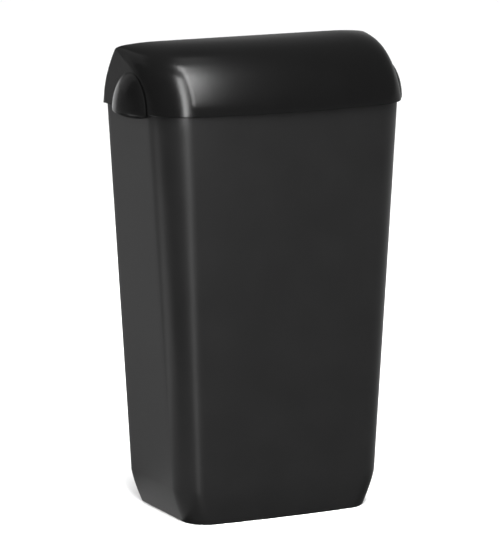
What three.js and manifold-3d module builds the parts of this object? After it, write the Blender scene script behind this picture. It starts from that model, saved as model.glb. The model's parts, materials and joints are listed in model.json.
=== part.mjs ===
// A wall-side waste bin with a swing lid: a tapered one-piece bin, a frame that drops into its rim,
// and a hood-shaped lid that swings on two pins under domed side covers.
// Millimetres, +Z up, -Y to the front, +X to the right; the origin is the bottom centre of the box.
import * as THREE from 'three';
import { mergeVertices } from 'three/addons/utils/BufferGeometryUtils.js';
import Module from 'manifold-3d';

const wasm = await Module();
wasm.setup();

// ---------------------------------------------------------------- driving dimensions
const seamHeight = 501;          // lower edge of the lid
const lidHeight = 76.4;           // lid's lower edge to its top
const rimHeight = 507;           // top of the bin, hidden inside the lid
const depth = 180;               // wall face to lid front
const backY = depth / 2;
const frontY = -depth / 2;
const gap = 0.3;                 // between pieces that touch

const bin = {
  wall: 2.6, floor: 3,
  topHalfWidth: 165.4, bottomHalfWidth: 133.6,
  topDepth: 175, bottomDepth: 154,
  topRadius: 48.5, bottomRadius: 32.3, backRadius: 1.5,
  topCrown: 1 / 600, bottomCrown: 1 / 1600,
  footHeight: 44, footTuckSide: 12.3, footTuckFront: 3, footPower: 1.39, footEdge: 1.5,
};
const lid = {
  wall: 2.6, halfWidth: 170.2,
  bottomRadius: 53.8, topRadius: 53.9, bottomCrown: 1 / 600, topCrown: 1 / 552,
  straight: 0.7, crestY: backY - 30, backEdgeY: backY - 39.4, backEdgeDrop: 1.6,
  frontPower: 3.21, risePower: 1.49,
  droop: 2.8, droopStart: 0.7,   // how far the top falls off at its two ends, and where that starts
  skirtBend: 33,                 // height over which the side's back edge leaves the vertical
};
const pivot = { y: 16.7, z: seamHeight + 20, pinRadius: 3, headRadius: 6, bushRadius: 5.1 };
const cover = {
  y: 10.6, z: 501, halfWidth: 43.4, rise: 46, drop: 8, bulge: 17, wall: 2,
  fullness: 0.71, pegOffset: 27, pegHeight: 9, pegRadius: 2,
};
const frame = { flange: 13, thickness: 2.5, skirtDepth: 18, skirtWall: 2.2, clearance: 0.8, edge: 0.8 };
const bracket = {
  foot: 12, footThickness: 2.5, plate: 3, outerX: 163.5, halfLength: 16, topRadius: 9, screwOffset: 11,
};
const screw = { radius: 1.5, headRadius: 2.8, headHeight: 1.8, length: 8, bossRadius: 4.2 };
const buffer = { x: 95, y: frontY + 21.8, radius: 3.4, height: 2.4, stem: 1.5, stemLength: 5 };
const wallHoles = { topX: 100, topZ: 440, bottomX: 80, bottomZ: 110, radius: 4.5, slot: 2.5, slotRise: 11 };

const cornerSteps = 10;
const frontSteps = 10;
const backSteps = 3;
const roundSteps = 16;
const coverSteps = 28;
const coverRings = 6;

// ---------------------------------------------------------------- solids
const toSolid = (geometry) => {
  geometry.deleteAttribute('normal');
  geometry.deleteAttribute('uv');
  const merged = mergeVertices(geometry, 1e-4);
  const index = [];
  for (let i = 0; i < merged.index.count; i += 3) {
    const [a, b, c] = merged.index.array.slice(i, i + 3);
    if (a !== b && b !== c && c !== a) index.push(a, b, c);
  }
  return new wasm.Manifold(new wasm.Mesh({
    numProp: 3,
    vertProperties: new Float32Array(merged.attributes.position.array),
    triVerts: new Uint32Array(index),
  }));
};

const toGeometry = (solid) => {
  const mesh = solid.getMesh();
  const geometry = new THREE.BufferGeometry();
  geometry.setAttribute('position', new THREE.BufferAttribute(mesh.vertProperties, 3));
  geometry.setIndex(new THREE.BufferAttribute(mesh.triVerts, 1));
  geometry.computeVertexNormals();
  return geometry;
};

const join = (...solids) => solids.reduce((a, b) => a.add(b));
const cut = (solid, ...tools) => tools.reduce((a, b) => a.subtract(b), solid);

// A closed skin through equal rings of points, closed at both ends by a fan.
const loft = (rings) => {
  const count = rings[0].length;
  const positions = rings.flat().flatMap((p) => [p.x, p.y, p.z]);
  const index = [];
  for (let r = 0; r + 1 < rings.length; r += 1) {
    for (let i = 0; i < count; i += 1) {
      const a = r * count + i;
      const b = r * count + (i + 1) % count;
      index.push(a, b, b + count, a, b + count, a + count);
    }
  }
  for (const last of [false, true]) {
    const ring = last ? rings.at(-1) : rings[0];
    const start = last ? (rings.length - 1) * count : 0;
    const centre = positions.length / 3;
    const middle = ring.reduce((sum, p) => sum.add(p), new THREE.Vector3()).divideScalar(count);
    positions.push(middle.x, middle.y, middle.z);
    for (let i = 0; i < count; i += 1) {
      const edge = [start + i, start + (i + 1) % count];
      index.push(centre, ...(last ? edge : edge.reverse()));
    }
  }
  const geometry = new THREE.BufferGeometry();
  geometry.setAttribute('position', new THREE.Float32BufferAttribute(positions, 3));
  geometry.setIndex(index);
  return toSolid(geometry);
};

// A level ring: straight at the wall side, crowned across the front, rounded at the corners between.
const levelRing = (z, halfWidth, front, back, frontRadius, crown, backRadius = 0) => {
  const points = [];
  const put = (x, y) => points.push(new THREE.Vector3(x, y, z));
  const arc = (x, y, radius, from, to, steps) => {
    for (let i = 0; i <= steps; i += 1) {
      const angle = from + (to - from) * (i / Math.max(steps, 1));
      put(x + radius * Math.cos(angle), y + radius * Math.sin(angle));
    }
  };
  const centreX = halfWidth - frontRadius;
  let lean = 0;
  for (let i = 0; i < 8; i += 1) lean = Math.atan(crown * (centreX + frontRadius * Math.sin(lean)));
  const tangentX = centreX + frontRadius * Math.sin(lean);
  const centreY = front + crown * tangentX ** 2 / 2 + frontRadius * Math.cos(lean);
  const right = Math.PI / 2;
  const backCount = backRadius > 0 ? backSteps : 0;
  arc(halfWidth - backRadius, back - backRadius, backRadius, 0, right, backCount);
  arc(backRadius - halfWidth, back - backRadius, backRadius, right, 2 * right, backCount);
  arc(-centreX, centreY, frontRadius, 2 * right, 3 * right - lean, cornerSteps);
  for (let i = 1; i < frontSteps; i += 1) {
    const x = tangentX * (2 * i / frontSteps - 1);
    put(x, front + crown * x ** 2 / 2);
  }
  arc(centreX, centreY, frontRadius, 3 * right + lean, 4 * right, cornerSteps);
  return points;
};

const outlineFrom = (points) => new THREE.Shape(points.map(([x, y]) => new THREE.Vector2(x, y)));

// A YZ outline pushed along X from x0 to x1.
const alongX = (shape, x0, x1) => {
  const settings = { depth: x1 - x0, bevelEnabled: false, curveSegments: 16 };
  const geometry = new THREE.ExtrudeGeometry(shape, settings);
  geometry.rotateX(Math.PI / 2).rotateZ(Math.PI / 2).translate(x0, 0, 0);
  return toSolid(geometry);
};

// An XZ outline pushed along Y from y0 to y1.
const alongY = (shape, y0, y1) => {
  const settings = { depth: y1 - y0, bevelEnabled: false, curveSegments: 12 };
  const geometry = new THREE.ExtrudeGeometry(shape, settings);
  geometry.rotateX(Math.PI / 2).translate(0, y1, 0);
  return toSolid(geometry);
};

const block = (x0, x1, y0, y1, z0, z1) => {
  const geometry = new THREE.BoxGeometry(x1 - x0, y1 - y0, z1 - z0);
  geometry.translate((x0 + x1) / 2, (y0 + y1) / 2, (z0 + z1) / 2);
  return toSolid(geometry);
};

// A turned piece: [radius, distance] pairs from axis to axis, along +X or +Z from a start point.
const turned = (profile, axis, x, y, z) => {
  const points = profile.map(([radius, distance]) => new THREE.Vector2(radius, distance));
  const geometry = new THREE.LatheGeometry(points, roundSteps);
  if (axis === 'x') geometry.rotateZ(-Math.PI / 2);
  else geometry.rotateX(Math.PI / 2);
  geometry.translate(x, y, z);
  return toSolid(geometry);
};

const rod = (radius, length, axis, x, y, z) => (
  turned([[0, 0], [radius, 0], [radius, length], [0, length]], axis, x, y, z)
);

// A piece for the right side and its mirror image for the left.
const mirrored = (solid) => {
  const mesh = solid.getMesh();
  const positions = mesh.vertProperties.map((value, i) => (i % 3 === 0 ? -value : value));
  const index = mesh.triVerts.slice();
  for (let i = 0; i < index.length; i += 3) [index[i], index[i + 1]] = [index[i + 1], index[i]];
  return new wasm.Manifold(new wasm.Mesh({ numProp: 3, vertProperties: positions, triVerts: index }));
};

// ---------------------------------------------------------------- bin
const binRing = (z, inset = 0) => {
  const rise = z / seamHeight;
  const mix = (low, high) => THREE.MathUtils.lerp(low, high, rise);
  const tuck = Math.max(0, 1 - z / bin.footHeight) ** bin.footPower;
  const below = Math.max(0, bin.footEdge - z);
  const edge = bin.footEdge - Math.sqrt(bin.footEdge ** 2 - below ** 2);
  const halfWidth = mix(bin.bottomHalfWidth, bin.topHalfWidth) - tuck * bin.footTuckSide - edge - inset;
  const front = backY - mix(bin.bottomDepth, bin.topDepth) + tuck * bin.footTuckFront + edge + inset;
  const radius = Math.max(mix(bin.bottomRadius, bin.topRadius) - inset, 1);
  const crown = mix(bin.bottomCrown, bin.topCrown);
  const backRadius = Math.max(bin.backRadius - inset, 0.6);
  return levelRing(z, halfWidth, front, backY - inset, radius, crown, backRadius);
};

const makeBinBody = () => {
  const edgeLevels = [0, 0.1, 0.35, 1].map((f) => f * bin.footEdge);
  const footLevels = [0.15, 0.25, 0.35, 0.45, 0.6, 0.75, 1].map((f) => f * bin.footHeight);
  const outside = loft([...edgeLevels, ...footLevels, rimHeight].map((z) => binRing(z)));
  const inside = loft([bin.floor, ...footLevels, rimHeight + 2].map((z) => binRing(z, bin.wall)));
  const holes = [];
  for (const side of [-1, 1]) {
    const through = [backY - bin.wall - 2, backY + 2];
    const { topX, topZ, bottomX, bottomZ, radius, slot, slotRise } = wallHoles;
    const round = (x, z, r) => new THREE.Shape().absarc(x, z, r, 0, Math.PI * 2);
    holes.push(alongY(round(side * topX, topZ, radius), ...through));
    holes.push(block(side * topX - slot, side * topX + slot, ...through, topZ, topZ + slotRise));
    holes.push(alongY(round(side * topX, topZ + slotRise, slot), ...through));
    holes.push(alongY(round(side * bottomX, bottomZ, radius), ...through));
  }
  return cut(outside, inside, ...holes);
};

// ---------------------------------------------------------------- rim frame
const screwPlaces = [-1, 1].map((end) => ({
  x: bracket.outerX - bracket.plate - bracket.foot / 2 + 0.8,
  y: pivot.y + end * bracket.screwOffset,
}));

const frameTop = rimHeight + gap + frame.thickness;

const makeRimFrame = () => {
  const flangeRing = (z, inset) => binRing(rimHeight, inset).map((p) => p.setZ(z));
  const flange = cut(
    loft([rimHeight + gap, frameTop].map((z) => flangeRing(z, frame.edge))),
    loft([rimHeight - 2, frameTop + 2].map((z) => flangeRing(z, frame.flange))),
  );
  const outer = bin.wall + frame.clearance;
  const skirtLevels = [rimHeight - frame.skirtDepth, rimHeight + 1];
  const skirt = cut(
    loft(skirtLevels.map((z) => binRing(z, outer))),
    loft([skirtLevels[0] - 1, skirtLevels[1] + 1].map((z) => binRing(z, outer + frame.skirtWall))),
  );
  let solid = join(flange, skirt);
  for (const side of [-1, 1]) {
    for (const { x, y } of screwPlaces) {
      const bottom = frameTop - screw.length - 1;
      solid = join(solid, rod(screw.bossRadius, frameTop - 1 - bottom, 'z', side * x, y, bottom));
      solid = cut(solid, rod(screw.radius + gap, screw.length + 2, 'z', side * x, y, bottom + 1));
    }
    const stemRadius = buffer.stem + gap;
    const stemHole = rod(stemRadius, frame.thickness + 2, 'z', side * buffer.x, buffer.y, rimHeight - 1);
    solid = cut(solid, stemHole);
  }
  return solid;
};

// ---------------------------------------------------------------- pivots, right side
const footTop = frameTop + gap + bracket.footThickness;

const makeBracket = () => {
  const { outerX, plate, foot, halfLength, topRadius } = bracket;
  const base = frameTop + gap;
  const innerX = outerX - plate;
  const side = new THREE.Shape();
  side.moveTo(pivot.y - halfLength, base);
  side.lineTo(pivot.y + halfLength, base);
  side.lineTo(pivot.y + topRadius, pivot.z);
  side.absarc(pivot.y, pivot.z, topRadius, 0, Math.PI);
  side.closePath();
  const upright = alongX(side, innerX, outerX);
  const footPlate = block(
    innerX - foot + plate, outerX, pivot.y - halfLength, pivot.y + halfLength, base, footTop,
  );
  const web = alongY(
    outlineFrom([[innerX - 6, footTop - 1], [innerX + 1, footTop - 1], [innerX + 1, footTop + 3]]),
    pivot.y - 1.5,
    pivot.y + 1.5,
  );
  let solid = cut(
    join(upright, footPlate, web),
    rod(pivot.pinRadius + gap, plate + 4, 'x', innerX - 2, pivot.y, pivot.z),
  );
  for (const { x, y } of screwPlaces) {
    solid = cut(solid, rod(screw.radius + gap, bracket.footThickness + 2, 'z', x, y, base - 1));
  }
  return solid;
};

const makeBracketScrew = ({ x, y }) => turned([
  [0, 0], [screw.radius * 0.4, 0], [screw.radius, 1.5], [screw.radius, screw.length + gap],
  [screw.headRadius, screw.length + gap], [screw.headRadius, screw.length + 1],
  [screw.headRadius * 0.7, screw.length + screw.headHeight], [0, screw.length + screw.headHeight],
], 'z', x, y, footTop - screw.length);

const lidInnerX = lid.halfWidth - lid.wall;
const headX = lid.halfWidth + 0.6;
const pinTailX = bracket.outerX - bracket.plate - 4.5;

const makePivotPin = () => turned([
  [0, 0], [pivot.pinRadius - 0.6, 0], [pivot.pinRadius, 0.6], [pivot.pinRadius, headX - pinTailX],
  [pivot.headRadius, headX - pinTailX], [pivot.headRadius, headX - pinTailX + 1.6],
  [pivot.headRadius * 0.6, headX - pinTailX + 2.8], [0, headX - pinTailX + 2.8],
], 'x', pinTailX, pivot.y, pivot.z);

const makeBush = () => {
  const flangeX = bracket.outerX + gap;
  const bore = pivot.pinRadius + gap;
  const length = lid.halfWidth - 0.3 - flangeX;
  return turned([
    [bore, 0], [8, 0], [8, 1.1], [pivot.bushRadius, 1.1], [pivot.bushRadius, length], [bore, length],
    [bore, 0],
  ], 'x', flangeX, pivot.y, pivot.z);
};

const makePinClip = () => turned([
  [pivot.pinRadius + gap, 0], [6.2, 0], [6.2, 1], [pivot.pinRadius + gap, 1], [pivot.pinRadius + gap, 0],
], 'x', bracket.outerX - bracket.plate - gap - 1, pivot.y, pivot.z);

// ---------------------------------------------------------------- lid
const lidProfile = (steps, inset = 0) => {
  const low = seamHeight + lid.straight;
  const front = frontY + inset;
  const top = seamHeight + lidHeight - inset;
  const points = [];
  for (let i = 0; i <= steps; i += 1) {
    const turn = (i / steps) * Math.PI / 2;
    points.push({
      y: lid.crestY - (lid.crestY - front) * Math.cos(turn) ** (2 / lid.frontPower),
      z: low + (top - low) * Math.sin(turn) ** (2 / lid.risePower),
    });
  }
  return points;
};

const lidRing = (y, z, inset) => {
  const rise = THREE.MathUtils.clamp((z - seamHeight) / lidHeight, 0, 1);
  const radius = THREE.MathUtils.lerp(lid.bottomRadius, lid.topRadius, rise) - inset;
  const crown = THREE.MathUtils.lerp(lid.bottomCrown, lid.topCrown, rise);
  return levelRing(z, lid.halfWidth - inset, y, backY + 60, radius, crown).map((p) => {
    const end = Math.max(0, Math.abs(p.x) / lid.halfWidth - lid.droopStart) / (1 - lid.droopStart);
    return p.setZ(z - lid.droop * rise ** 6 * end ** 2);
  });
};

const lidSolid = (bottom, inset) => {
  const profile = lidProfile(18, inset);
  return loft([
    lidRing(profile[0].y, bottom, inset),
    ...profile.map(({ y, z }) => lidRing(y, z, inset)),
  ]);
};

// Everything behind the curved back edge of the lid's sides, which clears the wall as the lid swings.
const behindLid = () => {
  const edge = new THREE.Shape();
  const top = seamHeight + lidHeight;
  edge.moveTo(backY, seamHeight - 20);
  edge.lineTo(backY, seamHeight);
  edge.quadraticCurveTo(backY, seamHeight + lid.skirtBend, lid.backEdgeY, top - lid.backEdgeDrop);
  edge.lineTo(lid.backEdgeY, top + 10);
  edge.lineTo(backY + 80, top + 10);
  edge.lineTo(backY + 80, seamHeight - 20);
  edge.closePath();
  return alongX(edge, -lid.halfWidth - 10, lid.halfWidth + 10);
};

const makeSwingLid = () => {
  const top = seamHeight + lidHeight;
  let solid = cut(lidSolid(seamHeight, 0), lidSolid(seamHeight - 10, lid.wall), behindLid());
  const inside = lidSolid(seamHeight - 10, lid.wall - 0.6);
  const ribZ = frameTop + gap + buffer.height + gap;
  const backRib = block(-145, 145, lid.backEdgeY - 2.4, lid.backEdgeY, top - 12, top + 4).intersect(inside);
  solid = join(solid, backRib);
  for (const side of [-1, 1]) {
    const x = side * buffer.x;
    const ledge = block(x - 9, x + 9, frontY + 1.5, buffer.y + 3.5, ribZ, ribZ + 2.4).intersect(inside);
    const bossStart = bracket.outerX + gap + 1.4;
    const boss = rod(9, lidInnerX + 0.5 - bossStart, 'x', bossStart, pivot.y, pivot.z);
    const bore = rod(pivot.bushRadius + gap, 20, 'x', lidInnerX - 10, pivot.y, pivot.z);
    const pegHoles = [-1, 1].map((end) => {
      const pegY = cover.y + end * cover.pegOffset;
      return rod(cover.pegRadius + gap, 20, 'x', lidInnerX - 10, pegY, cover.z + cover.pegHeight);
    });
    const fittings = side > 0 ? [boss, bore, ...pegHoles] : [boss, bore, ...pegHoles].map(mirrored);
    solid = cut(join(solid, ledge, fittings[0]), ...fittings.slice(1));
  }
  return solid;
};

// ---------------------------------------------------------------- pivot covers, right side
const domeRings = (baseX, halfWidth, rise, drop, bulge, steps) => {
  const rings = [];
  for (let s = 0; s <= steps; s += 1) {
    const size = Math.cos((s / (steps + 1)) * Math.PI / 2);
    const x = baseX + bulge * (1 - size ** 2) ** cover.fullness;
    const ring = [];
    for (let i = 0; i < coverSteps; i += 1) {
      const angle = (i / coverSteps) * Math.PI * 2;
      const height = Math.sin(angle) > 0 ? rise : drop;
      ring.push(new THREE.Vector3(
        x,
        cover.y + halfWidth * size * Math.cos(angle),
        cover.z + height * size * Math.sin(angle),
      ));
    }
    rings.push(ring);
  }
  return rings;
};

const makePivotCover = () => {
  const baseX = lid.halfWidth + gap;
  const { halfWidth, rise, drop, bulge, wall } = cover;
  const lip = baseX - 3.4;
  const outline = domeRings(baseX, halfWidth, rise, drop, bulge, coverRings);
  const outside = loft(outline);
  const inner = domeRings(baseX, halfWidth - wall, rise - wall, drop - wall, bulge - wall, coverRings);
  const inside = loft([inner[0].map((p) => p.clone().setX(lip - 2)), ...inner]);
  const lipRing = [lip, baseX + 0.5].map((x) => domeRings(x, halfWidth * 0.995, rise, drop, bulge, 1)[0]);
  const below = block(lip - 1, baseX + 1, cover.y - 60, cover.y + 60, cover.z - 30, seamHeight - gap);
  let solid = cut(join(outside, loft(lipRing).intersect(below)), inside);
  for (const end of [-1, 1]) {
    const pegY = cover.y + end * cover.pegOffset;
    const peg = rod(cover.pegRadius, bulge, 'x', lidInnerX - 1.4, pegY, cover.z + cover.pegHeight);
    solid = join(solid, peg.intersect(join(outside, block(0, baseX + 1, -200, 200, 0, 700))));
  }
  return solid;
};

// ---------------------------------------------------------------- lid buffers
const makeBuffer = (side) => turned([
  [0, 0], [buffer.stem, 0], [buffer.stem, buffer.stemLength], [buffer.radius, buffer.stemLength],
  [buffer.radius, buffer.stemLength + buffer.height - 1],
  [buffer.radius - 1.2, buffer.stemLength + buffer.height], [0, buffer.stemLength + buffer.height],
], 'z', side * buffer.x, buffer.y, frameTop + gap - buffer.stemLength);

// ---------------------------------------------------------------- assembly
const material = (color, roughness, metalness = 0) => (
  new THREE.MeshStandardMaterial({ color, roughness, metalness })
);
const mattePlastic = material(0x2b2b2b, 0.6);
const glossPlastic = material(0x161616, 0.25);
const framePlastic = material(0x1c1c1c, 0.5);
const bushPlastic = material(0xd8d4c8, 0.4);
const steel = material(0xb8b8b8, 0.3, 1);
const rubber = material(0x101010, 0.9);

const object = new THREE.Group();

const addPiece = (name, solid, look) => {
  const mesh = new THREE.Mesh(toGeometry(solid), look);
  mesh.name = name;
  object.add(mesh);
};

const addPair = (name, solid, look) => {
  addPiece(`right_${name}`, solid, look);
  addPiece(`left_${name}`, mirrored(solid), look);
};

addPiece('bin_body', makeBinBody(), mattePlastic);
addPiece('rim_frame', makeRimFrame(), framePlastic);
addPiece('swing_lid', makeSwingLid(), glossPlastic);
addPair('pivot_cover', makePivotCover(), glossPlastic);
addPair('pivot_bracket', makeBracket(), framePlastic);
addPair('pivot_pin', makePivotPin(), steel);
addPair('pivot_bush', makeBush(), bushPlastic);
addPair('pin_clip', makePinClip(), steel);
addPair('bracket_screw_front', makeBracketScrew(screwPlaces[0]), steel);
addPair('bracket_screw_back', makeBracketScrew(screwPlaces[1]), steel);
addPiece('right_lid_buffer', makeBuffer(1), rubber);
addPiece('left_lid_buffer', makeBuffer(-1), rubber);

export default object;
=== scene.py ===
"""Looks of a slim waste bin with a swing lid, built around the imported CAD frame.

Every CAD node is replaced by a finer mesh of the same shape. Lengths in the driving values and in the
shape functions are in millimetres; lights, camera and floor are placed in metres.
"""
import json
import math

import bmesh
import bpy
import numpy as np
from mathutils import Matrix, Vector


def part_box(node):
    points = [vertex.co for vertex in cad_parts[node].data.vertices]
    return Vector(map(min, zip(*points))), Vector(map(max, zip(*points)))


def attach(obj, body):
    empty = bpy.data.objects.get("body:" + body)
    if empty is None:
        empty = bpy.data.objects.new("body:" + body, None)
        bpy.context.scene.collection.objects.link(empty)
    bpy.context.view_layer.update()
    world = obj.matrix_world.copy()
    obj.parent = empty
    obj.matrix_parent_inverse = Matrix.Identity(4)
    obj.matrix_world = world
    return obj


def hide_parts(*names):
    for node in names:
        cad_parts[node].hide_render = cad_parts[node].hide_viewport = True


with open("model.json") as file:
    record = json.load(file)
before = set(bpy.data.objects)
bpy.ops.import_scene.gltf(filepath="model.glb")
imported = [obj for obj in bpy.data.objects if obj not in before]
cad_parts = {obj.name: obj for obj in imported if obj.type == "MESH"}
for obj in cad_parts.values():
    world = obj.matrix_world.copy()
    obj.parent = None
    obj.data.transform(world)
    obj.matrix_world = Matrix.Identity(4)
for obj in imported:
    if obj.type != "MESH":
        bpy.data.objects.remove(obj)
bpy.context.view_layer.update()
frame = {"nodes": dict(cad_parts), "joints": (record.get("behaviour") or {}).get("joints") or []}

MM = 0.001


def millimetres(corner):
    """One corner of a node's box as x, y, z in millimetres."""
    return [value / MM for value in corner]


def measured(box):
    """A box's low corner, its high corner and the middle between them, in millimetres."""
    low, high = (millimetres(corner) for corner in box)
    return low, high, [(a + b) / 2 for a, b in zip(low, high)]


# ---------------------------------------------------------------- driving values
BIN_HIGH = millimetres(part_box("bin_body")[1])
LID_LOW = millimetres(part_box("swing_lid")[0])
HINGE = next(joint for joint in frame["joints"] if joint["name"] == "lid_swing")
PIVOT_Y = HINGE["pos_m"][1] / MM
PIVOT_Z = HINGE["pos_m"][2] / MM

SEAM = LID_LOW[2]                # lower edge of the lid
RIM = BIN_HIGH[2]                # top of the bin, hidden inside the lid
BACK = BIN_HIGH[1]               # wall face
FRONT = LID_LOW[1]               # middle of the lid's lower front edge
LID_TOP = SEAM + 76.4            # the lid's crest is this far above its lower edge
GAP = 0.3                        # between pieces that touch

BIN = dict(
    wall=2.6, floor=3.0, floor_round=4.0, top_half=165.4, bottom_half=133.6,
    top_depth=175.0, bottom_depth=154.0, top_radius=48.5, bottom_radius=32.3, back_radius=1.5,
    top_crown=1 / 600, bottom_crown=1 / 1600, lip=1.1,
    foot_height=44.0, foot_edge=1.5, tuck_side=12.3, tuck_front=3.0, tuck_power=1.39,
)
LID = dict(
    wall=2.6, half=170.2, bottom_radius=53.8, top_radius=53.9, bottom_crown=1 / 600, top_crown=1 / 552,
    straight=0.7, crest=BACK - 30, back_edge=BACK - 39.4, edge_drop=1.6, front_power=3.21, rise_power=1.49,
    droop=2.8, droop_start=0.7, skirt_bend=33.0, edge=0.8,
    side_round=8.0, fold=0.45, fold_front=25.0, fold_corner=6.0, fold_full=0.7, fold_end=0.9, fold_lead=4.5,
)
COVER = dict(
    y=10.6, z=501.0, half=43.4, rise=46.0, drop=8.0, bulge=17.0, wall=2.0, fullness=0.71, lip=3.4, edge=0.35,
)
COVER_PEG = dict(offset=27.0, height=9.0, radius=2.0, reach=1.4)
FRAME = dict(flange=13.0, thickness=2.5, skirt_depth=18.0, skirt_wall=2.2, clearance=0.8, edge=0.8)
SCREW = dict(radius=1.5, head=2.8, head_height=1.8, length=8.0, boss=4.2)
RECESS = dict(depth=1.0, half_width=0.35, reach=1.5)
BUFFER = dict(x=95.0, y=FRONT + 21.8, radius=3.4, height=2.4, round=1.2, stem=1.5, stem_length=5.0)
LEDGE = dict(half_width=9.0, thickness=2.4, inside=4.0, past_buffer=3.5)
RIB = dict(half_width=145.0, wall=2.2, depth=12.0, below_top=1.3)
PIN = dict(radius=3.0, chamfer=0.6, head=6.0, head_height=2.8)
BUSH = dict(radius=5.1, flange=8.0, flange_thickness=1.1)
BOSS = dict(start=165.2, radius=9.0)    # the lid's pivot bosses, from this distance off the middle
CLIP = dict(radius=6.2, thickness=1.0, slot=0.5, slot_reach=4.9)
WALL_HOLES = dict(
    top_x=100.0, top_z=440.0, bottom_x=80.0, bottom_z=110.0, radius=4.5, slot=2.5, slot_rise=11.0,
)

FRONT_STEPS, CORNER_STEPS, SIDE_STEPS, BACK_CORNER_STEPS, BACK_STEPS = 24, 22, 16, 5, 12
ROUND_STEPS = 64
LID_ROWS = 96
SMOOTH_ANGLE = math.radians(32)
BEVEL_ANGLE = math.radians(40)


# ---------------------------------------------------------------- mesh helpers
def new_object(name, vertices, faces):
    """A mesh object from points in millimetres, welded, with outward normals."""
    mesh = bpy.data.meshes.new(name)
    mesh.from_pydata([Vector(point) * MM for point in vertices], [], faces)
    piece = bpy.data.objects.new(name, mesh)
    bpy.context.scene.collection.objects.link(piece)
    clean(piece)
    return piece


def clean(piece):
    """Welds doubled points, removes empty faces and turns all faces outward."""
    work = bmesh.new()
    work.from_mesh(piece.data)
    bmesh.ops.remove_doubles(work, verts=work.verts, dist=0.004 * MM)
    bmesh.ops.dissolve_degenerate(work, edges=work.edges, dist=0.002 * MM)
    bmesh.ops.recalc_face_normals(work, faces=work.faces)
    work.to_mesh(piece.data)
    work.free()


def smooth(piece):
    """Smooth shading with sharp edges kept where faces meet steeply."""
    piece.data.shade_smooth()
    piece.data.set_sharp_from_angle(angle=SMOOTH_ANGLE)


def skin(name, rings, ring_closed=True, loop=False):
    """A skin through equal rings of points; open ends are closed with one flat face each."""
    count = len(rings[0])
    rows = len(rings)
    vertices = np.concatenate(rings)
    faces = []
    spans = count if ring_closed else count - 1
    for row in range(rows if loop else rows - 1):
        below, above = row * count, (row + 1) % rows * count
        for i in range(spans):
            j = (i + 1) % count
            faces.append((below + i, below + j, above + j, above + i))
    if ring_closed and not loop:
        faces.append(tuple(reversed(range(count))))
        faces.append(tuple(range((rows - 1) * count, rows * count)))
    if loop and not ring_closed:
        faces.append(tuple(row * count for row in range(rows)))
        faces.append(tuple(row * count + count - 1 for row in reversed(range(rows))))
    return new_object(name, vertices, faces)


def turned(name, profile, axis, start, hollow=False):
    """A turned piece along X or Z from a start point; a hollow one has a closed profile."""
    angles = np.linspace(0, 2 * math.pi, ROUND_STEPS, endpoint=False)
    rings = []
    for radius, distance in profile:
        across, up = radius * np.cos(angles), radius * np.sin(angles)
        along = np.full(ROUND_STEPS, float(distance))
        ring = (along, across, up) if axis == "x" else (across, up, along)
        rings.append(np.stack(ring, axis=1) + np.array(start))
    return skin(name, rings, loop=hollow)


def rod(name, radius, length, axis, start):
    """A plain rod, used as a cutter, a boss or a peg."""
    return turned(name, [(radius, 0), (radius, length)], axis, start)


def block(name, low, high):
    """A box between two corners, used as a cutter."""
    (x0, y0, z0), (x1, y1, z1) = low, high
    bottom = np.array([(x0, y0, z0), (x1, y0, z0), (x1, y1, z0), (x0, y1, z0)], float)
    return skin(name, [bottom, bottom + np.array((0, 0, z1 - z0))])


def boolean(piece, operation, *tools):
    """Joins or cuts with other pieces, which are used up."""
    for tool in tools:
        step = piece.modifiers.new("boolean", "BOOLEAN")
        step.operation = operation
        step.solver = "EXACT"
        step.object = tool
        apply_modifiers(piece)
        bpy.data.objects.remove(tool)
    return piece


def apply_modifiers(piece):
    """Makes the modifiers' result the piece's own mesh."""
    graph = bpy.context.evaluated_depsgraph_get()
    graph.update()
    mesh = bpy.data.meshes.new_from_object(piece.evaluated_get(graph))
    piece.modifiers.clear()
    piece.data = mesh


def bevel(piece, width):
    """Rounds the steep edges of a piece."""
    step = piece.modifiers.new("bevel", "BEVEL")
    step.width = width * MM
    step.segments = 2
    step.limit_method = "ANGLE"
    step.angle_limit = BEVEL_ANGLE
    step.harden_normals = False
    apply_modifiers(piece)
    return piece


def mirror_copy(piece, name):
    """The same piece on the other side."""
    copy = bpy.data.objects.new(name, piece.data.copy())
    bpy.context.scene.collection.objects.link(copy)
    copy.data.transform(Matrix.Scale(-1, 4, (1, 0, 0)))
    copy.data.flip_normals()
    return copy


def dress(piece, body, node, material):
    """Finishes a piece: shading, material, the body it rides on and the node it stands for."""
    smooth(piece)
    piece.data.materials.clear()
    piece.data.materials.append(material)
    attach(piece, body)
    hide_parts(node)


def dress_pair(piece, kind, body, material):
    """Finishes the right piece and makes its mirror image for the left."""
    left = mirror_copy(piece, f"left_{kind}_look")
    dress(piece, body, f"right_{kind}", material)
    dress(left, body, f"left_{kind}", material)


# ---------------------------------------------------------------- level rings
def corner_of(half, front, radius, crown):
    """Centre of a front corner's arc, the angle at which it starts, and the x where the front meets it."""
    centre_x = half - radius
    lean = 0.0
    for _ in range(8):
        lean = np.arctan(crown * (centre_x + radius * np.sin(lean)))
    tangent_x = centre_x + radius * np.sin(lean)
    centre_y = front + crown * tangent_x ** 2 / 2 + radius * np.cos(lean)
    return centre_x, centre_y, lean, tangent_x


def mirrored_ring(half_ring):
    """A whole ring from its right half, which starts at x = 0."""
    left = half_ring[::-1] * np.array((-1, 1, 1))
    return np.concatenate([left[:-1], half_ring])


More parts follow.
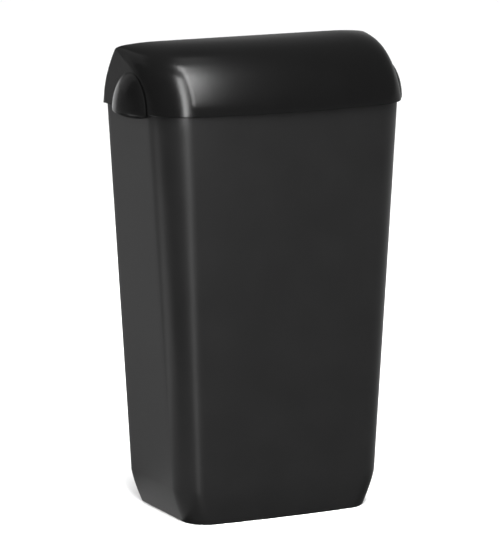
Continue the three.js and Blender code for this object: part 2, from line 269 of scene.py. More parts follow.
def bin_ring(z, inset=0.0, level=None):
    """The bin's outline at a height, moved inward by inset."""
    rise = z / SEAM
    tuck = max(0.0, 1 - z / BIN["foot_height"]) ** BIN["tuck_power"]
    below = max(0.0, BIN["foot_edge"] - z)
    edge = BIN["foot_edge"] - math.sqrt(BIN["foot_edge"] ** 2 - below ** 2)

    def mix(low, high):
        return BIN[low] + (BIN[high] - BIN[low]) * rise

    half = mix("bottom_half", "top_half") - tuck * BIN["tuck_side"] - edge - inset
    front = BACK - mix("bottom_depth", "top_depth") + tuck * BIN["tuck_front"] + edge + inset
    radius = max(mix("bottom_radius", "top_radius") - inset, 1.0)
    crown = mix("bottom_crown", "top_crown")
    back_radius = max(BIN["back_radius"] - inset, 0.6)
    back = BACK - inset
    centre_x, centre_y, lean, tangent_x = corner_of(half, front, radius, crown)
    x_front = np.linspace(0, tangent_x, FRONT_STEPS)
    turn = np.linspace(lean, math.pi / 2, CORNER_STEPS)[1:]
    y_side = np.linspace(centre_y, back - back_radius, SIDE_STEPS)[1:]
    back_turn = np.linspace(0, math.pi / 2, BACK_CORNER_STEPS)[1:]
    x_back = np.linspace(half - back_radius, 0, BACK_STEPS)[1:-1]
    x = np.concatenate([
        x_front, centre_x + radius * np.sin(turn), np.full(len(y_side), half),
        half - back_radius + back_radius * np.cos(back_turn), x_back,
    ])
    y = np.concatenate([
        front + crown * x_front ** 2 / 2, centre_y - radius * np.cos(turn), y_side,
        back - back_radius + back_radius * np.sin(back_turn), np.full(len(x_back), back),
    ])
    right = np.stack([x, y, np.full(len(x), z if level is None else level)], axis=1)
    left = right[:0:-1] * np.array((-1, 1, 1))
    return np.concatenate([right, left])


# ---------------------------------------------------------------- bin
def make_bin_body():
    """The one-piece bin: foot, tapered walls, rounded rim and hollow inside, with the wall holes."""
    foot_edge = BIN["foot_edge"]
    rounding = [foot_edge * (1 - math.cos(a)) for a in np.linspace(0, math.pi / 2, 7)]
    foot = list(np.linspace(foot_edge + 1.5, BIN["foot_height"], 20))
    wall = list(np.linspace(BIN["foot_height"], RIM - BIN["lip"], 20))[1:]
    rings = [bin_ring(z) for z in rounding + foot + wall]
    middle = BIN["wall"] / 2
    for angle in np.linspace(0, math.pi, 9)[1:-1]:
        z = RIM - BIN["lip"] * (1 - math.sin(angle))
        rings.append(bin_ring(z, middle * (1 - math.cos(angle))))
    floor_round = BIN["floor_round"]
    inner = BIN["floor"] + floor_round
    for z in reversed([inner] + [level for level in foot if level > inner + 1] + wall):
        rings.append(bin_ring(z, BIN["wall"]))
    for angle in np.linspace(0, math.pi / 2, 6)[1:]:
        z = inner - floor_round * math.sin(angle)
        rings.append(bin_ring(z, BIN["wall"] + floor_round * (1 - math.cos(angle))))
    body = skin("bin_body_look", rings)
    start, length = BACK - BIN["wall"] - 2, BIN["wall"] + 4
    holes = []
    for side in (-1, 1):
        top_x, bottom_x = side * WALL_HOLES["top_x"], side * WALL_HOLES["bottom_x"]
        slot, top_z = WALL_HOLES["slot"], WALL_HOLES["top_z"]
        slot_top = top_z + WALL_HOLES["slot_rise"]
        holes.append(hole_along_y(top_x, top_z, WALL_HOLES["radius"], start, length))
        holes.append(block("slot", (top_x - slot, start, top_z), (top_x + slot, start + length, slot_top)))
        holes.append(hole_along_y(top_x, slot_top, slot, start, length))
        holes.append(hole_along_y(bottom_x, WALL_HOLES["bottom_z"], WALL_HOLES["radius"], start, length))
    return boolean(body, "DIFFERENCE", *holes)


def hole_along_y(x, z, radius, start, length):
    """A round cutter through the back wall."""
    angles = np.linspace(0, 2 * math.pi, 40, endpoint=False)
    ring = np.stack([x + radius * np.cos(angles), np.full(40, start), z + radius * np.sin(angles)], axis=1)
    return skin("hole", [ring, ring + np.array((0, length, 0))])


# ---------------------------------------------------------------- rim frame
def rounded(pairs, radius):
    """A closed outline of (inset, height) pairs with its corners rounded."""
    points = []
    for i, corner in enumerate(pairs):
        corner = np.array(corner, float)
        before, after = np.array(pairs[i - 1], float), np.array(pairs[(i + 1) % len(pairs)], float)
        to_before, to_after = before - corner, after - corner
        to_before /= np.linalg.norm(to_before)
        to_after /= np.linalg.norm(to_after)
        for f in np.linspace(0, 1, 4):
            start, end = corner + to_before * radius, corner + to_after * radius
            points.append((1 - f) ** 2 * start + 2 * f * (1 - f) * corner + f ** 2 * end)
    return points


def make_rim_frame():
    """The drop-in frame: a flat flange on the rim, a skirt inside it, and four screw bosses."""
    top = RIM + GAP + FRAME["thickness"]
    under = RIM + GAP
    skirt_out = BIN["wall"] + FRAME["clearance"]
    skirt_in = skirt_out + FRAME["skirt_wall"]
    skirt_low = RIM - FRAME["skirt_depth"]
    outline = rounded([
        (FRAME["edge"], top), (FRAME["flange"], top), (FRAME["flange"], under), (skirt_in, under),
        (skirt_in, skirt_low), (skirt_out, skirt_low), (skirt_out, under), (FRAME["edge"], under),
    ], 0.5)
    piece = skin("rim_frame_look", [bin_ring(min(z, RIM), inset, z) for inset, z in outline], loop=True)
    bottom = top - SCREW["length"] - 1
    for side in (-1, 1):
        for box in (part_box("right_bracket_screw_front"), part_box("right_bracket_screw_back")):
            x, y, _ = measured(box)[2]
            boolean(piece, "UNION", rod("boss", SCREW["boss"], top - 1 - bottom, "z", (side * x, y, bottom)))
            bore = rod("bore", SCREW["radius"] + GAP, SCREW["length"] + 2, "z", (side * x, y, bottom + 1))
            boolean(piece, "DIFFERENCE", bore)
        start = (side * BUFFER["x"], BUFFER["y"], RIM - 1)
        boolean(piece, "DIFFERENCE", rod("stem", BUFFER["stem"] + GAP, FRAME["thickness"] + 2, "z", start))
    return piece


# ---------------------------------------------------------------- lid
def back_edge_curve():
    """The curved back edge of the lid's sides as (height, y) samples, then level along the top."""
    t = np.linspace(0, 1, 200)
    points = [(BACK, SEAM), (BACK, SEAM + LID["skirt_bend"]), (LID["back_edge"], LID_TOP - LID["edge_drop"])]
    (y0, z0), (y1, z1), (y2, z2) = points
    y = (1 - t) ** 2 * y0 + 2 * t * (1 - t) * y1 + t ** 2 * y2
    z = (1 - t) ** 2 * z0 + 2 * t * (1 - t) * z1 + t ** 2 * z2
    return z, y


EDGE_Z, EDGE_Y = back_edge_curve()


def lid_columns():
    """Where each column starts on the lid's lower edge: (part, fraction) on the right half."""
    parts = [(0, f) for f in np.linspace(0, 1, FRONT_STEPS + 8)]
    parts += [(1, f) for f in np.linspace(0, 1, CORNER_STEPS + 10)[1:]]
    parts += [(2, f) for f in np.linspace(0, 1, SIDE_STEPS + 16)[1:]]
    return parts


def droop_share(x):
    """How far a place is along the stretch over which the lid's top droops towards its ends, from 0 to 1."""
    return np.maximum(0, x / LID["half"] - LID["droop_start"]) / (1 - LID["droop_start"])


def lid_profile(inset):
    """The lid's middle line, from the lower edge up and back: y, z, and the share of its height."""
    turn = np.linspace(0, math.pi / 2, 900)
    turn = math.pi / 2 * (1 - (1 - turn / (math.pi / 2)) ** 1.6)    # closer samples near the crest
    low = SEAM + LID["straight"]
    top = LID_TOP - inset
    front = FRONT + inset
    cosine = np.maximum(np.cos(turn), 0)
    y = LID["crest"] - (LID["crest"] - front) * cosine ** (2 / LID["front_power"])
    z = low + (top - low) * np.sin(turn) ** (2 / LID["rise_power"])
    y = np.concatenate([[front], y])
    z = np.concatenate([[SEAM], z])
    return y, z, np.clip((z - SEAM) / (LID_TOP - SEAM), 0, 1)


def lid_path(part, fraction, inset):
    """One column of the lid's surface, from the lower edge up and back, as dense samples."""
    y_front, z, rise = lid_profile(inset)
    radius = LID["bottom_radius"] + (LID["top_radius"] - LID["bottom_radius"]) * rise - inset
    crown = LID["bottom_crown"] + (LID["top_crown"] - LID["bottom_crown"]) * rise
    half = LID["half"] - inset
    fade = np.clip((LID["fold_end"] - rise) / (LID["fold_end"] - LID["fold_full"]), 0, 1)
    fold = LID["fold"] * fade ** 2 * (3 - 2 * fade)
    centre_x, centre_y, lean, tangent_x = corner_of(half, y_front, radius, crown)
    lead = LID["fold_lead"] * rise ** 2
    fold_x = tangent_x - lead
    if part == 0:
        x = fraction * fold_x
        y = y_front + crown * x ** 2 / 2 - fold * np.exp((x - fold_x) / LID["fold_front"])
    elif part == 1:
        along = fraction * (lead + radius * (math.pi / 2 - lean))
        angle = lean + np.maximum(0, along - lead) / radius
        on_front = along < lead
        x = np.where(on_front, fold_x + along, centre_x + radius * np.sin(angle))
        y = np.where(on_front, y_front + crown * x ** 2 / 2, centre_y - radius * np.cos(angle))
        y = y - fold * np.exp((fold_x - x) / LID["fold_corner"])
    else:
        x = np.full(len(z), half)
        y = centre_y + (BACK - centre_y) * fraction
    end = droop_share(x)
    round_off = np.clip((x - half) / LID["side_round"] + 1, 0, 1)
    ahead = np.clip((np.interp(z, EDGE_Z, EDGE_Y) - y) / 30, 0.2, 1)
    drop = LID["droop"] * end ** 2 + LID["side_round"] * ahead * (1 - np.sqrt(1 - round_off ** 2))
    return np.stack([x, y, z - drop * rise ** 6], axis=1)


def lid_column(part, fraction, inset, shift, rows):
    """Points of one column from the lower edge to the back edge, which is moved forward by shift."""
    path = lid_path(part, fraction, inset)
    over = path[:, 1] - (np.interp(path[:, 2], EDGE_Z, EDGE_Y) - shift)
    beyond = np.nonzero(over > 0)[0]
    if len(beyond):
        last = max(int(beyond[0]), 1)
        f = np.clip(-over[last - 1] / max(over[last] - over[last - 1], 1e-9), 0, 1)
        path = np.concatenate([path[:last], [path[last - 1] + f * (path[last] - path[last - 1])]])
    along = np.concatenate([[0], np.cumsum(np.linalg.norm(np.diff(path, axis=0), axis=1))])
    wanted = np.array(rows) * along[-1]
    return np.stack([np.interp(wanted, along, path[:, k]) for k in range(3)], axis=1)


def lid_rows(inset, shift, rows, lift=0.0):
    """Whole rows of points across the lid, left to right."""
    columns = np.array([lid_column(part, f, inset, shift, rows) for part, f in lid_columns()])
    columns[:, 0, 2] += lift if rows[0] == 0 else 0
    return [mirrored_ring(columns[:, row]) for row in range(len(rows))]


def make_swing_lid():
    """The hood lid as one shell with rounded edges, its ledges, rib and pivot bosses."""
    edge, wall = LID["edge"], LID["wall"]
    fractions = list(np.linspace(0, 1, LID_ROWS))
    outer = lid_rows(0, edge, fractions, lift=edge)
    inner = lid_rows(wall, edge, fractions, lift=edge)
    turns = np.linspace(0, math.pi / 2, 5)
    round_out = [(edge * (1 - math.cos(a)), edge * (1 - math.sin(a))) for a in turns[1:]]
    round_in = [(wall - inset, away) for inset, away in reversed(round_out)]
    rounding = round_out + round_in
    back_rounding = [lid_rows(inset, away, [1.0])[0] for inset, away in rounding]
    front_rounding = [lid_rows(inset, edge, [0.0], away)[0] for inset, away in reversed(rounding)]
    rows = outer + back_rounding + inner[::-1] + front_rounding
    lid = skin("swing_lid_look", rows, ring_closed=False, loop=True)
    inner_x = LID["half"] - wall
    start, bore_radius = BOSS["start"], BUSH["radius"] + GAP
    boolean(lid, "UNION", make_back_rib())
    for side in (-1, 1):
        boss = side_rod("boss", BOSS["radius"], start, inner_x + 0.5, PIVOT_Y, PIVOT_Z, side)
        boolean(lid, "UNION", make_ledge(side), boss)
        bore = side_rod("bore", bore_radius, start - 1, inner_x + 9, PIVOT_Y, PIVOT_Z, side)
        boolean(lid, "DIFFERENCE", bore)
        for end in (-1, 1):
            y, z = COVER["y"] + end * COVER_PEG["offset"], COVER["z"] + COVER_PEG["height"]
            hole = side_rod("hole", COVER_PEG["radius"] + GAP, inner_x - 9, inner_x + 9, y, z, side)
            boolean(lid, "DIFFERENCE", hole)
    return lid


def side_rod(name, radius, near, far, y, z, side):
    """A rod along X on one side, between two distances from the middle."""
    start = near if side > 0 else -far
    return rod(name, radius, far - near, "x", (start, y, z))


def make_back_rib():
    """The stiffening rib under the top's back edge, a curtain that follows the top."""
    path = np.linspace(-RIB["half_width"], RIB["half_width"], 61)
    low = LID_TOP - RIB["depth"]
    back = LID["back_edge"] - 0.2
    front = back - RIB["wall"]
    high = LID_TOP - RIB["below_top"] - LID["droop"] * droop_share(np.abs(path)) ** 2
    rings = [np.array([(x, front, low), (x, back, low), (x, back, top), (x, front, top)])
             for x, top in zip(path, high)]
    return skin("rib", rings)


def make_ledge(side):
    """The small ledge inside the lid's front that rests on a rubber buffer."""
    low = RIM + GAP + FRAME["thickness"] + GAP + BUFFER["height"] + GAP
    high = low + LEDGE["thickness"]
    back = BUFFER["y"] + LEDGE["past_buffer"]
    rings = []
    for offset in (-LEDGE["half_width"], LEDGE["half_width"]):
        x = side * BUFFER["x"] + offset
        front = FRONT + LEDGE["inside"] + LID["bottom_crown"] * x ** 2 / 2
        rings.append(np.array([(x, front, low), (x, back, low), (x, back, high), (x, front, high)]))
    return bevel(skin("ledge", rings), 0.4)


# ---------------------------------------------------------------- pivot covers, right side
def cover_ring(size, x, trim, lip=0.0):
    """One outline of the side cover at a height of its dome; lip reaches in below the lid's edge."""
    step = math.asin(GAP / COVER["drop"])
    upper = np.linspace(0, math.pi, 49)
    lower = np.concatenate([
        [math.pi + 0.9 * step, math.pi + 1.1 * step], np.linspace(math.pi + 0.2, 2 * math.pi - 0.2, 34),
        [2 * math.pi - 1.1 * step, 2 * math.pi - 0.9 * step],
    ])
    angles = np.concatenate([upper, lower])
    across = (COVER["half"] - trim) * size * np.cos(angles)
    rise = np.where(np.sin(angles) > 0, COVER["rise"] - trim, COVER["drop"] - trim)
    deep = (angles > math.pi + step) & (angles < 2 * math.pi - step)
    along = np.where(deep, x - lip, x)
    return np.stack([along, COVER["y"] + across, COVER["z"] + rise * size * np.sin(angles)], axis=1)


def make_cover():
    """The hollow domed cover over a pivot, with its two pegs."""
    base = LID["half"] + GAP
    wall, lip, edge = COVER["wall"], COVER["lip"], COVER["edge"]

    def dome(trim):
        rings = []
        for size in np.cos(np.linspace(0.06, 0.98, 30) * math.pi / 2):
            x = base + (COVER["bulge"] - trim) * (1 - size ** 2) ** COVER["fullness"]
            rings.append(cover_ring(size, x, trim))
        return rings

    rim = []
    for angle in (0.0, 0.8, 1.57):
        rim.append(cover_ring(1.0, base + edge * (1 - math.sin(angle)), edge * (1 - math.cos(angle)), lip))
    rim.append(cover_ring(1.0, base, wall, lip))
    cover = skin("right_pivot_cover_look", dome(0.0)[::-1] + rim + dome(wall))
    inner_x = LID["half"] - LID["wall"]
    offset, height = COVER_PEG["offset"], COVER_PEG["height"]
    fill = (offset / COVER["half"]) ** 2 + (height / COVER["rise"]) ** 2
    far = base + COVER["bulge"] * (1 - fill) ** COVER["fullness"] - wall / 2
    reach = COVER_PEG["reach"]
    for end in (-1, 1):
        start = (inner_x - reach, COVER["y"] + end * offset, COVER["z"] + height)
        boolean(cover, "UNION", rod("peg", COVER_PEG["radius"], far - inner_x + reach, "x", start))
    return cover


# ---------------------------------------------------------------- pivots and small fittings, right side
def softened_copy(node, width):
    """A finer copy of a CAD piece with its steep edges rounded."""
    piece = bpy.data.objects.new(f"{node}_look", frame["nodes"][node].data.copy())
    bpy.context.scene.collection.objects.link(piece)
    clean(piece)
    return bevel(piece, width)


def domed(radius, height, base, angles):
    """The profile of a domed head, from its rim inwards."""
    return [(radius * math.cos(a), base + height * math.sin(a)) for a in angles]


def make_pin():
    """The pivot pin: a chamfered tail, a plain shaft and a domed head."""
    low, high, _ = measured(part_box("right_pivot_pin"))
    radius, chamfer, head, head_height = PIN["radius"], PIN["chamfer"], PIN["head"], PIN["head_height"]
    length = high[0] - low[0] - head_height
    profile = [(radius - chamfer, 0), (radius, chamfer), (radius, length)]
    profile += [(head - 0.2, length), (head, length + 0.2)]
    profile += domed(head, head_height - 1.0, length + 1.0, np.linspace(0, 1.45, 9))
    return turned("right_pivot_pin_look", profile, "x", (low[0], PIVOT_Y, PIVOT_Z))


def make_bush():
    """The flanged bush that the lid turns on."""
    low, high, _ = measured(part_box("right_pivot_bush"))
    bore, length = PIN["radius"] + GAP, high[0] - low[0]
    radius, flange, thickness = BUSH["radius"], BUSH["flange"], BUSH["flange_thickness"]
    outline = rounded([
        (bore, 0), (flange, 0), (flange, thickness), (radius, thickness), (radius, length), (bore, length),
    ], 0.22)
    return turned("right_pivot_bush_look", outline, "x", (low[0], PIVOT_Y, PIVOT_Z), hollow=True)


def make_clip():
    """The push-on clip on the pin's tail, slotted into three teeth."""
    low, high, _ = measured(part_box("right_pin_clip"))
    bore, radius, thickness = PIN["radius"] + GAP, CLIP["radius"], CLIP["thickness"]
    outline = rounded([(bore, 0), (radius, 0), (radius, thickness), (bore, thickness)], 0.2)
    clip = turned("right_pin_clip_look", outline, "x", (low[0], PIVOT_Y, PIVOT_Z), hollow=True)
    for turn in range(3):
        slot = block("slot", (low[0] - 1, -CLIP["slot"], 0), (high[0] + 1, CLIP["slot"], CLIP["slot_reach"]))
        slot.data.transform(Matrix.Rotation(turn * 2 * math.pi / 3, 4, "X"))
        slot.data.transform(Matrix.Translation((0, PIVOT_Y * MM, PIVOT_Z * MM)))
        boolean(clip, "DIFFERENCE", slot)
    return clip


def make_screw(node):
    """A pan-head screw with a cross recess."""
    low, high, (x, y, _) = measured(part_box(node))
    shank = SCREW["length"] + GAP
    profile = [(0.6, 0), (SCREW["radius"], 1.5), (SCREW["radius"], shank), (SCREW["head"], shank)]
    profile += domed(SCREW["head"], SCREW["head_height"] - GAP - 0.5, shank + 0.5, np.linspace(0, 1.4, 8))
    screw = turned(f"{node}_look", profile, "z", (x, y, low[2]))
    bottom, top = high[2] - RECESS["depth"], high[2] + 1
    narrow, wide = RECESS["half_width"], RECESS["reach"]
    for across, along in ((narrow, wide), (wide, narrow)):
        recess = block("recess", (x - across, y - along, bottom), (x + across, y + along, top))
        boolean(screw, "DIFFERENCE", recess)
    return screw


def make_buffer():
    """The rubber button that the closed lid rests on."""
    low, high, (x, y, _) = measured(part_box("right_lid_buffer"))
    stem, reach, radius, edge = BUFFER["stem"], BUFFER["stem_length"], BUFFER["radius"], BUFFER["round"]
    top = high[2] - low[2]
    profile = [(stem - 0.4, 0), (stem, 0.5), (stem, reach), (radius - 0.2, reach), (radius, reach + 0.2)]
    for angle in np.linspace(0, 1.57, 6):
        profile.append((radius - edge * (1 - math.cos(angle)), top - edge * (1 - math.sin(angle))))
    return turned("right_lid_buffer_look", profile, "z", (x, y, low[2]))


# ---------------------------------------------------------------- materials
BLOTCH_SIZE, SPECK_SIZE, WAVE_SIZE = 60.0, 1.5, 45.0    # features of moulded plastic


def node_tree(name):
    """A new material with a principled shader and object coordinates."""
    material = bpy.data.materials.new(name)
    material.use_nodes = True
    nodes, links = material.node_tree.nodes, material.node_tree.links
    shader = nodes["Principled BSDF"]
    coords = nodes.new("ShaderNodeTexCoord")
    return material, nodes, links, shader, coords.outputs["Object"]


def noise(nodes, links, coords, size, detail=3.0):
    """Noise whose features are about size millimetres across."""
    texture = nodes.new("ShaderNodeTexNoise")
    texture.inputs["Scale"].default_value = 1 / (size * MM)
    texture.inputs["Detail"].default_value = detail
    links.new(coords, texture.inputs["Vector"])
    return texture.outputs["Fac"]


def ramp(nodes, links, factor, low, high):
    """Maps noise from its usual spread to the range between two values."""
    node = nodes.new("ShaderNodeMapRange")
    node.inputs["From Min"].default_value = 0.25
    node.inputs["From Max"].default_value = 0.75
    node.inputs["To Min"].default_value = low
    node.inputs["To Max"].default_value = high
    links.new(factor, node.inputs["Value"])
    return node.outputs["Result"]


def bump(nodes, links, height, distance, normal=None):
    """A bump of a given depth in millimetres."""
    node = nodes.new("ShaderNodeBump")
    node.inputs["Strength"].default_value = 1.0
    node.inputs["Distance"].default_value = distance * MM
    links.new(height, node.inputs["Height"])
    if normal is not None:
        links.new(normal, node.inputs["Normal"])
    return node.outputs["Normal"]


def plastic(name, colour, roughness, grain, grain_depth, waviness=0.0, specular=0.5):
    """Moulded plastic: fine grain, faint waviness, and a little variation in colour and roughness."""
    material, nodes, links, shader, coords = node_tree(name)
    shader.inputs["Specular IOR Level"].default_value = specular
    blotch = noise(nodes, links, coords, BLOTCH_SIZE)
    speck = noise(nodes, links, coords, SPECK_SIZE)
    mix = nodes.new("ShaderNodeMix")
    mix.data_type = "RGBA"
    mix.inputs["A"].default_value = (*[c * 0.9 for c in colour], 1)
    mix.inputs["B"].default_value = (*[c * 1.12 for c in colour], 1)
    links.new(ramp(nodes, links, blotch, 0.0, 1.0), mix.inputs["Factor"])
    links.new(mix.outputs["Result"], shader.inputs["Base Color"])
    links.new(ramp(nodes, links, speck, roughness - 0.03, roughness + 0.03), shader.inputs["Roughness"])
    normal = bump(nodes, links, noise(nodes, links, coords, grain, 2.0), grain_depth)
    if waviness:
        normal = bump(nodes, links, noise(nodes, links, coords, WAVE_SIZE, 1.0), waviness, normal)
    links.new(normal, shader.inputs["Normal"])
    return material


def floor_material():
    """Plain pale floor."""
    material, _, _, shader, _ = node_tree("floor")
    shader.inputs["Base Color"].default_value = (0.93, 0.93, 0.93, 1)
    shader.inputs["Roughness"].default_value = 0.9
    shader.inputs["Specular IOR Level"].default_value = 0.0
    return material


def backdrop_material():
    """An even white that lights nothing else."""
    material, _, _, shader, _ = node_tree("backdrop")
    shader.inputs["Base Color"].default_value = (0, 0, 0, 1)
    shader.inputs["Specular IOR Level"].default_value = 0.0
    shader.inputs["Emission Color"].default_value = (1, 1, 1, 1)
    shader.inputs["Emission Strength"].default_value = 1.0
    return material


def steel():
    """Zinc-plated steel with faint uneven polish."""
    material, nodes, links, shader, coords = node_tree("steel")
    shader.inputs["Metallic"].default_value = 1.0
    mix = nodes.new("ShaderNodeMix")
    mix.data_type = "RGBA"
    mix.inputs["A"].default_value = (0.52, 0.53, 0.54, 1)
    mix.inputs["B"].default_value = (0.68, 0.68, 0.67, 1)
    links.new(ramp(nodes, links, noise(nodes, links, coords, 3.0), 0.0, 1.0), mix.inputs["Factor"])
    links.new(mix.outputs["Result"], shader.inputs["Base Color"])
    links.new(ramp(nodes, links, noise(nodes, links, coords, 0.8), 0.24, 0.38), shader.inputs["Roughness"])
    links.new(bump(nodes, links, noise(nodes, links, coords, 0.4), 0.004), shader.inputs["Normal"])
    return material


BIN_PLASTIC = plastic("bin_plastic", (0.0042, 0.0042, 0.0042), 0.34, 0.9, 0.02, specular=0.14)
LID_PLASTIC = plastic("lid_plastic", (0.002, 0.002, 0.002), 0.2, 1.2, 0.002, waviness=0.012, specular=0.1)
FRAME_PLASTIC = plastic("frame_plastic", (0.012, 0.012, 0.0122), 0.42, 0.9, 0.01, specular=0.4)
BUSH_PLASTIC = plastic("bush_plastic", (0.72, 0.70, 0.64), 0.35, 2.0, 0.003)
RUBBER = plastic("buffer_rubber", (0.012, 0.012, 0.012), 0.75, 0.5, 0.02, specular=0.3)
STEEL = steel()


# ---------------------------------------------------------------- pieces
dress(make_bin_body(), "bin", "bin_body", BIN_PLASTIC)
dress(make_rim_frame(), "frame", "rim_frame", FRAME_PLASTIC)
dress(make_swing_lid(), "lid", "swing_lid", LID_PLASTIC)
dress_pair(make_cover(), "pivot_cover", "lid", LID_PLASTIC)
bracket = softened_copy("right_pivot_bracket", 0.35)
dress_pair(bracket, "pivot_bracket", "frame", FRAME_PLASTIC)
dress_pair(make_pin(), "pivot_pin", "frame", STEEL)
dress_pair(make_bush(), "pivot_bush", "lid", BUSH_PLASTIC)
dress_pair(make_clip(), "pin_clip", "frame", STEEL)
for end in ("front", "back"):
    kind = f"bracket_screw_{end}"
    dress_pair(make_screw(f"right_{kind}"), kind, "frame", STEEL)
dress_pair(make_buffer(), "lid_buffer", "frame", RUBBER)


# ---------------------------------------------------------------- floor, light and camera
CAMERA_AZIMUTH, CAMERA_ELEVATION = -26.492, 10.536
CAMERA_DISTANCE = 4.70727
CAMERA_TARGET = Vector((-0.01193, 0.00997, 0.29454))
CAMERA_LENS = 257.01
FLOOR_SIZE, FLOOR_DROP = 40.0, 0.0002
BACKDROP_RADIUS = 25.0
DARK_PLACE = (-50, 25)           # azimuth and elevation of the dark part of the studio
DARK_EDGE = (0.2, 0.78)          # its soft edge, as cosines
DARK_LEVEL = 0.06
ROOM_LEVELS = [                  # brightness of the rest against the sine of the elevation
    (-1.0, 0.04), (-0.45, 0.1), (-0.33, 0.25), (-0.22, 1.1), (-0.13, 0.42), (0.0, 0.45),
    (0.12, 0.45), (0.2, 0.2), (0.3, 0.16), (0.6, 0.12), (1.0, 0.13),
]
FILL = dict(azimuth=-20, elevation=70, strength=3.1, spread=60)
PANEL_TARGET = Vector((0, 0, 0.3))


def direction(azimuth, elevation):
    """Unit vector from the object towards an azimuth (0 is the front) and elevation in degrees."""
    a, e = math.radians(azimuth), math.radians(elevation)
    return Vector((math.sin(a) * math.cos(e), -math.cos(a) * math.cos(e), math.sin(e)))


def spot(azimuth, distance, height):
    """A point at a distance from the middle and a height."""
    return direction(azimuth, 0) * distance + Vector((0, 0, height))


OVERHEAD_LINE = (-0.07, -2.6), (0.253, -0.15), (0.32, 0.36), (0.44, 0.3), (0.66, 1.1)
OVERHEAD = [Vector((x, y, 2.35)) for x, y in OVERHEAD_LINE]
LEFT_FLOOR = [Vector((-0.12, -0.02, 0)) + spot(-115, reach, 0) for reach in (0, 0.5, 2.4)]
BACK_LEFT = [spot(0, 0, 0.5) + direction(-150, elevation) * 2.5 for elevation in (10, 60)]
PANELS = [                       # name, the two ends of the middle line, width, radiance
    ("left_strip_low", spot(-21, 2.05, -0.9), spot(-21, 1.4, 0.45), 0.3, 9.0),
    ("left_strip", spot(-27, 1.4, 0.45), spot(-15, 0.35, 2.6), 0.2, 50.0),
    ("back_panel", spot(-175, 2.5, 0.15), spot(-175, 2.5, 0.76), 1.43, 0.9),
    ("overhead_front", OVERHEAD[0], OVERHEAD[1], 0.12, 80.0),
    ("overhead_middle", OVERHEAD[1], OVERHEAD[2], 0.12, 52.0),
    ("overhead_back", OVERHEAD[3], OVERHEAD[4], 0.12, 1.8),
    ("left_near_panel", LEFT_FLOOR[0], LEFT_FLOOR[1], 0.5, 0.6),
    ("left_far_panel", LEFT_FLOOR[1], LEFT_FLOOR[2], 0.6, 2.6),
    ("back_left_panel", BACK_LEFT[0], BACK_LEFT[1], 1.5, 0.5),
]


def aim(thing, place, target):
    """Puts a light or camera at a place and turns it to a target."""
    thing.location = place
    thing.rotation_euler = (target - place).to_track_quat("-Z", "Y").to_euler()


def add_floor():
    """A large pale floor, left out of reflections."""
    size = FLOOR_SIZE
    corners = [(-size, -size, 0), (size, -size, 0), (size, size, 0), (-size, size, 0)]
    mesh = bpy.data.meshes.new("floor")
    mesh.from_pydata(corners, [], [(0, 1, 2, 3)])
    floor = bpy.data.objects.new("floor", mesh)
    floor.location.z = -FLOOR_DROP
    floor.data.materials.append(floor_material())
    bpy.context.scene.collection.objects.link(floor)
    floor.visible_glossy = False
    floor.visible_shadow = False


def add_backdrop():
    """A white dome around the floor, which only the camera sees."""
    work = bmesh.new()
    bmesh.ops.create_icosphere(work, subdivisions=4, radius=BACKDROP_RADIUS)
    mesh = bpy.data.meshes.new("backdrop")
    work.to_mesh(mesh)
    work.free()
    dome = bpy.data.objects.new("backdrop", mesh)
    dome.data.materials.append(backdrop_material())
    bpy.context.scene.collection.objects.link(dome)
    dome.visible_diffuse = False
    dome.visible_glossy = False
    dome.visible_transmission = False
    dome.visible_shadow = False


def add_panel(name, low, high, width, radiance):
    """A soft panel with its middle line between two points, turned towards the object."""
    light = bpy.data.lights.new(name, "AREA")
    light.shape = "RECTANGLE"
    light.size = width
    light.size_y = (high - low).length
    light.energy = radiance * math.pi * light.size * light.size_y
    lamp = bpy.data.objects.new(name, light)
    bpy.context.scene.collection.objects.link(lamp)
    along = (high - low).normalized()
    away = (low + high) / 2 - PANEL_TARGET
    away = (away - along * away.dot(along)).normalized()
    turn = Matrix((along.cross(away), along, away)).transposed().to_4x4()
    lamp.matrix_world = Matrix.Translation((low + high) / 2) @ turn
    lamp.visible_camera = False


def add_sun(name, azimuth, elevation, strength, spread):
    """Even light for the whole floor, left out of reflections."""
    light = bpy.data.lights.new(name, "SUN")
    light.energy = strength
    light.angle = math.radians(spread)
    lamp = bpy.data.objects.new(name, light)
    bpy.context.scene.collection.objects.link(lamp)
    aim(lamp, direction(azimuth, elevation) * 5, Vector((0, 0, 0)))
    lamp.visible_glossy = False


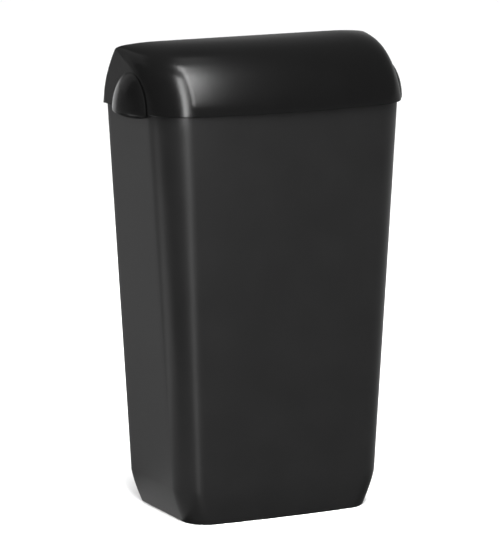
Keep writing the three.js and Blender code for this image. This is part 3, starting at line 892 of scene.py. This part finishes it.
def add_world():
    """A dim studio that is darkest on the left and lighter towards the back and the right."""
    world = bpy.data.worlds.new("studio")
    world.use_nodes = True
    bpy.context.scene.world = world
    nodes, links = world.node_tree.nodes, world.node_tree.links
    coords = nodes.new("ShaderNodeTexCoord")
    towards = nodes.new("ShaderNodeVectorMath")
    towards.operation = "DOT_PRODUCT"
    towards.inputs[1].default_value = direction(*DARK_PLACE)
    links.new(coords.outputs["Generated"], towards.inputs[0])
    height = nodes.new("ShaderNodeSeparateXYZ")
    links.new(coords.outputs["Generated"], height.inputs["Vector"])
    fraction = nodes.new("ShaderNodeMapRange")
    fraction.inputs["From Min"].default_value = -1
    links.new(height.outputs["Z"], fraction.inputs["Value"])
    room = nodes.new("ShaderNodeValToRGB")
    stops = room.color_ramp.elements
    for place, _ in ROOM_LEVELS[2:]:    # a new ramp has two stops already
        stops.new((place + 1) / 2)
    for stop, (place, brightness) in zip(stops, ROOM_LEVELS):
        stop.position = (place + 1) / 2
        stop.color = (brightness, brightness, brightness, 1)
    links.new(fraction.outputs["Result"], room.inputs["Fac"])
    level = nodes.new("ShaderNodeMapRange")
    level.interpolation_type = "SMOOTHSTEP"
    level.inputs["From Min"].default_value = DARK_EDGE[0]
    level.inputs["From Max"].default_value = DARK_EDGE[1]
    level.inputs["To Max"].default_value = DARK_LEVEL
    links.new(towards.outputs["Value"], level.inputs["Value"])
    links.new(room.outputs["Color"], level.inputs["To Min"])
    links.new(level.outputs["Result"], nodes["Background"].inputs["Strength"])
    nodes["Background"].inputs["Color"].default_value = (1, 1, 1, 1)


def add_camera():
    """The camera at the viewing angle."""
    camera = bpy.data.cameras.new("camera")
    camera.sensor_width = 36.0
    camera.lens = CAMERA_LENS
    camera.clip_end = 100.0
    eye = bpy.data.objects.new("camera", camera)
    bpy.context.scene.collection.objects.link(eye)
    offset = direction(CAMERA_AZIMUTH, CAMERA_ELEVATION) * CAMERA_DISTANCE
    aim(eye, CAMERA_TARGET + offset, CAMERA_TARGET)
    bpy.context.scene.camera = eye


add_floor()
add_backdrop()
add_world()
add_sun("fill", **FILL)
for panel in PANELS:
    add_panel(*panel)
add_camera()
bpy.context.scene.view_settings.view_transform = "Standard"
